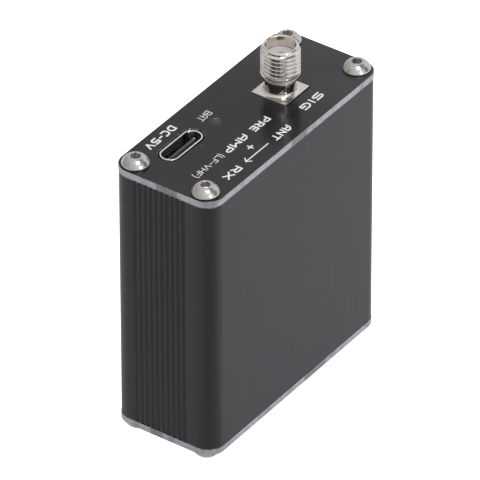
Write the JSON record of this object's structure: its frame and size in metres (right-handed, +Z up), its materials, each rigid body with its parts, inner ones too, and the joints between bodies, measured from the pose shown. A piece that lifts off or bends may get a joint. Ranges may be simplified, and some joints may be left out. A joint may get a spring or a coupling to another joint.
{
  "type": "portable antenna preamplifier",
  "caption": "Pocket antenna preamplifier: upright extruded metal case with ribbed narrow sides, screwed end panels, threaded coaxial jack and charging port.",
  "frame": {"origin": "centre of the footprint, on the plane that the lower screw heads stand on", "axes": "+Z up along the case towards the coaxial jack, +X along the broad faces towards the coaxial jack's end, -Y out of the front broad face"},
  "size_m": [0.045, 0.0188, 0.0579],
  "materials": {
    "black_anodised_case": "satin black anodised",
    "black_panel": "semi-gloss black print, bare milled edge",
    "stainless_screw": "satin",
    "nickel_plate": "bright plated",
    "fluoropolymer": "matte",
    "gilt_contact": "gold plated",
    "black_moulding": "matte",
    "clear_window": "smoky clear",
    "lamp_phosphor": "gloss",
    "green_board": "solder-masked laminate",
    "chip_epoxy": "matte",
    "ferrite": "matte",
    "tantalum_case": "matte",
    "ceramic": "matte",
    "silver_pouch": "laminated foil",
    "foam_tape": "foam",
    "white_moulding": "matte",
    "red_insulation": "smooth",
    "black_insulation": "smooth",
    "switch_steel": "pressed sheet"
  },
  "bodies": {
    "case": {"enclosure_tube": "black_anodised_case", "top_panel": "black_panel", "bottom_panel": "black_panel", "top_screw_1": "stainless_screw", "top_screw_2": "stainless_screw", "top_screw_3": "stainless_screw", "top_screw_4": "stainless_screw", "bottom_screw_1": "stainless_screw", "bottom_screw_2": "stainless_screw", "bottom_screw_3": "stainless_screw", "bottom_screw_4": "stainless_screw", "sma_jack_body": "nickel_plate", "sma_insulator": "fluoropolymer", "sma_center_contact": "gilt_contact", "usb_c_shell": "nickel_plate", "usb_c_insert": "black_moulding", "charge_light_window": "clear_window", "charge_lamp": "lamp_phosphor", "main_circuit_board": "green_board", "input_amplifier_chip": "chip_epoxy", "output_amplifier_chip": "chip_epoxy", "charger_chip": "chip_epoxy", "voltage_regulator": "chip_epoxy", "power_inductor": "ferrite", "supply_capacitor": "tantalum_case", "input_capacitor": "ceramic", "output_capacitor": "ceramic", "battery_cell": "silver_pouch", "cell_tape": "foam_tape", "battery_socket": "white_moulding", "battery_plug": "white_moulding", "battery_lead_red": "red_insulation", "battery_lead_black": "black_insulation", "power_switch_body": "switch_steel", "antenna_jack_body": "black_moulding", "antenna_jack_nut": "nickel_plate", "antenna_jack_contact": "gilt_contact"},
    "switch_knob": {"power_switch_slider": "black_moulding"}
  },
  "joints": [
    {"name": "power_switch_slide", "type": "slide", "parent": "case", "child": "switch_knob", "axis": [1, 0, 0], "range_m": [0, 0.002]}
  ]
}
